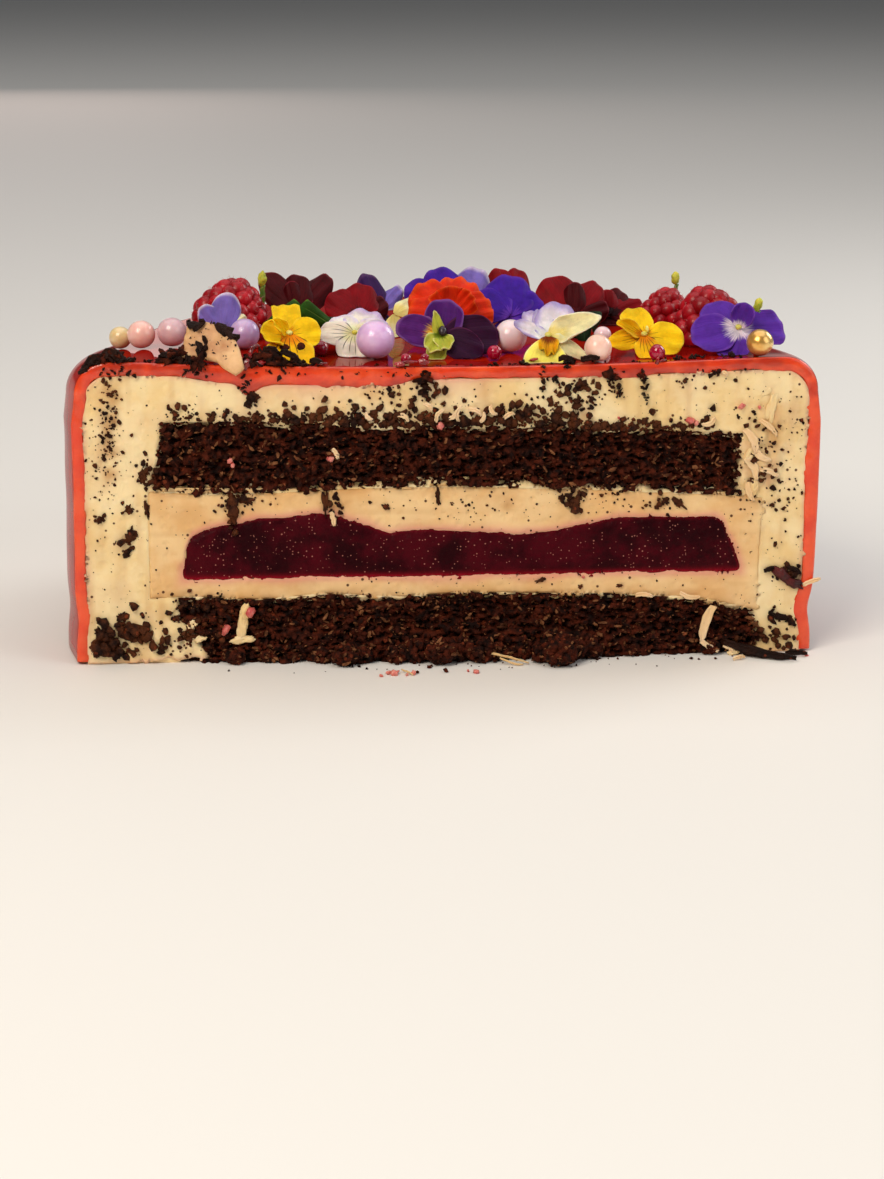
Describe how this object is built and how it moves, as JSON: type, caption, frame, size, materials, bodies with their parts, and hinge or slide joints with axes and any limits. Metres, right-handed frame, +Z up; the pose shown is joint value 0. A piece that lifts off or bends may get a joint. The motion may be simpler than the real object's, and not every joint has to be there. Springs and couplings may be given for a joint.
{
  "type": "mousse cake",
  "caption": "Round mousse cake cut open: red mirror glaze, pale mousse, chocolate sponges and a berry compote core, with edible flowers, raspberries and sugar pearls on top.",
  "frame": {"origin": "middle of the bounding box, on the base the cake stands on", "axes": "+X along the cut from left to right as the cut is looked at, +Y from the cut to the round back, +Z up"},
  "size_m": [0.186, 0.1234, 0.0886],
  "materials": {
    "glaze": "mirror gloss",
    "vanilla_mousse": "soft satin",
    "insert_mousse": "soft satin",
    "chocolate_sponge": "matt, torn",
    "berry_compote": "moist gloss",
    "pearl_cream": "pearl lustre",
    "pearl_pink": "pearl lustre",
    "pearl_rose_grey": "pearl lustre",
    "pearl_lilac": "pearl lustre",
    "pearl_pale_lilac": "pearl lustre",
    "pearl_white": "pearl lustre",
    "pearl_blush": "pearl lustre",
    "pearl_gold": "metallic lustre",
    "berry_bead": "wet gloss",
    "raspberry": "moist, velvety",
    "viola_yellow": "velvety",
    "viola_cream": "velvety",
    "viola_purple": "velvety",
    "viola_white_lilac": "velvety",
    "viola_blue": "velvety",
    "viola_violet": "velvety",
    "viola_dark": "velvety",
    "viola_lilac": "velvety",
    "petal_cream": "velvety",
    "pansy_orange": "velvety",
    "blossom_crimson": "velvety",
    "petal_red": "velvety",
    "leaf_green": "waxy",
    "leaf_dark": "waxy"
  },
  "bodies": {
    "root": {"glaze": "glaze", "outer_mousse": "vanilla_mousse", "mousse_flake": "vanilla_mousse", "insert_mousse": "insert_mousse", "upper_sponge": "chocolate_sponge", "lower_sponge": "chocolate_sponge", "compote": "berry_compote", "pearl_cream": "pearl_cream", "pearl_pink": "pearl_pink", "pearl_rose_grey": "pearl_rose_grey", "pearl_lilac": "pearl_lilac", "pearl_lilac_large": "pearl_pale_lilac", "pearl_white_pink": "pearl_white", "pearl_white": "pearl_white", "pearl_blush": "pearl_blush", "pearl_gold": "pearl_gold", "bead_left": "berry_bead", "bead_middle": "berry_bead", "bead_right": "berry_bead", "bead_drop_left": "berry_bead", "bead_drop_right": "berry_bead", "raspberry_left": "raspberry", "raspberry_right": "raspberry", "raspberry_behind": "raspberry", "viola_yellow_left": "viola_yellow", "viola_yellow_right": "viola_yellow", "viola_cream": "viola_cream", "viola_purple": "viola_purple", "viola_white_lilac": "viola_white_lilac", "viola_blue": "viola_blue", "viola_blue_behind": "viola_violet", "viola_violet_behind": "viola_violet", "viola_dark_behind": "viola_dark", "viola_lilac": "viola_lilac", "petal_cream": "petal_cream", "pansy_orange": "pansy_orange", "red_blossom_left": "blossom_crimson", "red_blossom_low": "blossom_crimson", "red_petals_middle": "petal_red", "red_blossom_right": "petal_red", "red_petals_behind": "petal_red", "leaf_arched": "leaf_green", "leaf_dark": "leaf_dark", "leaf_small": "leaf_dark"}
  },
  "joints": []
}
